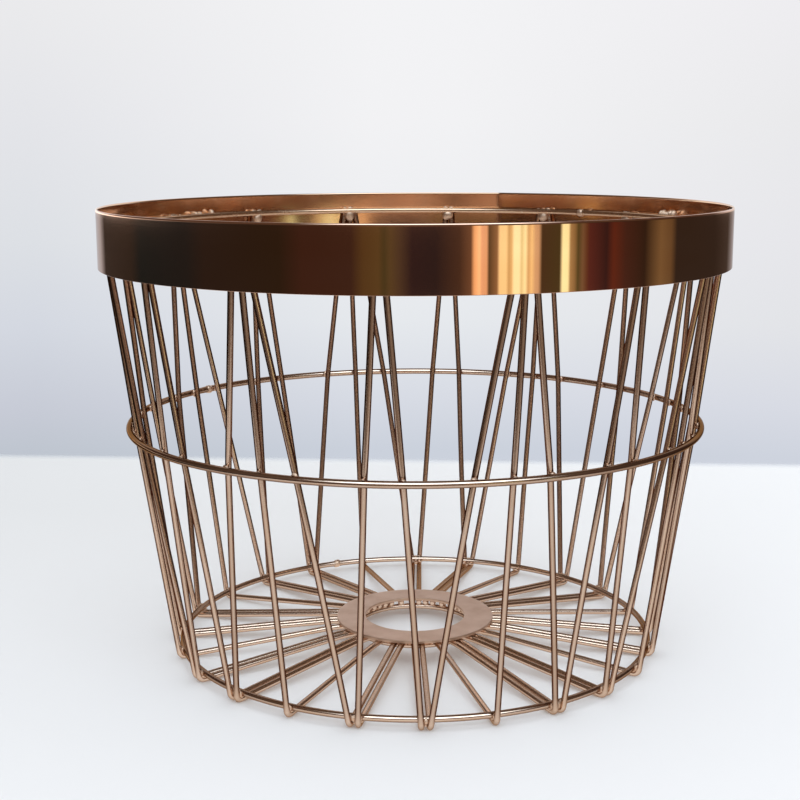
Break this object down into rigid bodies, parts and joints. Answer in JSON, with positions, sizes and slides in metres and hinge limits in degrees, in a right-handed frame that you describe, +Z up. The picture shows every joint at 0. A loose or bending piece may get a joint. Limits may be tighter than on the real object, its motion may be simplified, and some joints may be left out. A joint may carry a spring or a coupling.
{
  "type": "wire produce basket",
  "caption": "Round tapered open-wire basket for fruit and vegetables, with a flat metal rim band, wire hoops, V-set side wires and a raised round hub plate in its wire base.",
  "frame": {"origin": "on the surface that the basket stands on, under the centre of the rim", "axes": "+Z up along the basket's axis; -Y is the front, and +X is to the right seen from the front"},
  "size_m": [0.3, 0.3, 0.217],
  "materials": {
    "rim_copper": "copper-plated steel strip, brushed along its length and lacquered",
    "ring_copper": "copper-plated drawn steel wire, satin",
    "wire_copper": "copper-plated drawn steel wire, satin",
    "hub_copper": "copper-plated steel plate, matt"
  },
  "bodies": {
    "root": {"rim_band": "rim_copper", "top_ring": "ring_copper", "middle_ring": "ring_copper", "bottom_ring": "ring_copper", "hub_ring": "ring_copper", "hub_plate": "hub_copper", "straight_wire_1": "wire_copper", "raked_right_wire_1": "wire_copper", "steep_left_wire_1": "wire_copper", "steep_right_wire_1": "wire_copper", "raked_left_wire_1": "wire_copper", "straight_wire_2": "wire_copper", "raked_right_wire_2": "wire_copper", "steep_left_wire_2": "wire_copper", "steep_right_wire_2": "wire_copper", "raked_left_wire_2": "wire_copper", "straight_wire_3": "wire_copper", "raked_right_wire_3": "wire_copper", "steep_left_wire_3": "wire_copper", "steep_right_wire_3": "wire_copper", "raked_left_wire_3": "wire_copper", "straight_wire_4": "wire_copper", "raked_right_wire_4": "wire_copper", "steep_left_wire_4": "wire_copper", "steep_right_wire_4": "wire_copper", "raked_left_wire_4": "wire_copper", "straight_wire_5": "wire_copper", "raked_right_wire_5": "wire_copper", "steep_left_wire_5": "wire_copper", "steep_right_wire_5": "wire_copper", "raked_left_wire_5": "wire_copper", "straight_wire_6": "wire_copper", "raked_right_wire_6": "wire_copper", "steep_left_wire_6": "wire_copper", "steep_right_wire_6": "wire_copper", "raked_left_wire_6": "wire_copper", "straight_wire_7": "wire_copper", "raked_right_wire_7": "wire_copper", "steep_left_wire_7": "wire_copper", "steep_right_wire_7": "wire_copper", "raked_left_wire_7": "wire_copper", "straight_wire_8": "wire_copper", "raked_right_wire_8": "wire_copper", "steep_left_wire_8": "wire_copper", "steep_right_wire_8": "wire_copper", "raked_left_wire_8": "wire_copper"}
  },
  "joints": []
}
